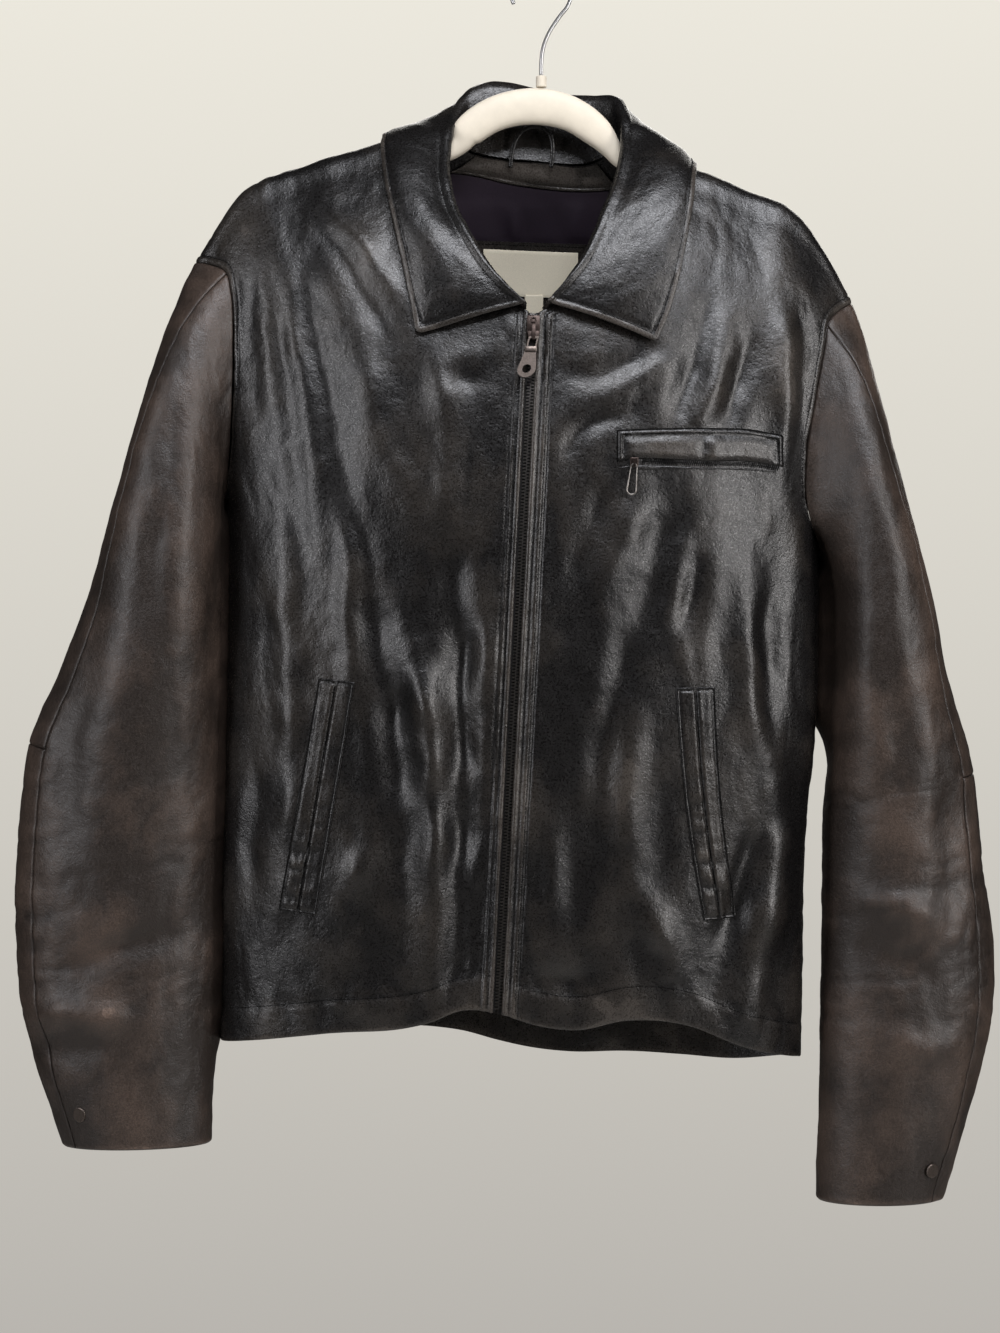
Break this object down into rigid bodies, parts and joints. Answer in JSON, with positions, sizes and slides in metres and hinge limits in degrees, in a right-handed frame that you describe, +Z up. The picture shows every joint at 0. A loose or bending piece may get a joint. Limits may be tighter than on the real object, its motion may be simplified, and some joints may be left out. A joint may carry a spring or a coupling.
{
  "type": "leather zip jacket on a hanger",
  "caption": "Worn black leather jacket with a point collar, front zip, zipped chest pocket and slanted welt pockets, hanging closed on an ivory hanger with a wire hook.",
  "frame": {"origin": "inside of the crown of the hanger's hook, where it rests on a rail", "axes": "+Z up along the hanging jacket, -Y out of its front, +X towards the wearer's left"},
  "size_m": [0.7263, 0.153, 0.9207],
  "materials": {
    "black_leather": "worn satin",
    "worn_leather": "dull and scuffed",
    "lining_satin": "satin weave",
    "label_cream": "matt woven",
    "zip_tape": "matt woven",
    "antique_metal": "dark antique, worn",
    "ivory_plastic": "matt",
    "hook_wire": "polished"
  },
  "bodies": {
    "jacket": {"back": "black_leather", "back_lining": "lining_satin", "chest_pocket_lip": "black_leather", "chest_pocket_teeth": "antique_metal", "chest_pocket_welt": "black_leather", "chest_slider": "antique_metal", "collar": "black_leather", "front_left": "black_leather", "front_right": "black_leather", "hanger": "ivory_plastic", "hanger_loop": "black_leather", "hook": "hook_wire", "hook_ferrule": "ivory_plastic", "label_patch": "black_leather", "neck_facing": "black_leather", "neck_label": "label_cream", "pocket_left_far_welt": "black_leather", "pocket_left_near_welt": "black_leather", "pocket_right_far_welt": "black_leather", "pocket_right_near_welt": "black_leather", "size_tab": "label_cream", "sleeve_left_back": "worn_leather", "sleeve_left_elbow": "worn_leather", "sleeve_left_front": "worn_leather", "sleeve_right_back": "worn_leather", "sleeve_right_elbow": "worn_leather", "sleeve_right_front": "worn_leather", "snap_left": "antique_metal", "snap_right": "antique_metal", "zip_slider": "antique_metal", "zip_tape_left": "zip_tape", "zip_tape_right": "zip_tape", "zip_teeth": "antique_metal"},
    "main_zip_pull": {"zip_pull": "antique_metal"},
    "pocket_zip_pull": {"chest_pull": "antique_metal"}
  },
  "joints": [
    {"name": "main_pull_hinge", "type": "hinge", "parent": "jacket", "child": "main_zip_pull", "pos_m": [-0.00667, -0.07882, -0.28765], "axis": [-1, 0, 0], "range_deg": [0, 140]},
    {"name": "pocket_pull_hinge", "type": "hinge", "parent": "jacket", "child": "pocket_zip_pull", "pos_m": [0.0655, -0.08426, -0.379], "axis": [-1, 0, 0], "range_deg": [0, 140]}
  ]
}
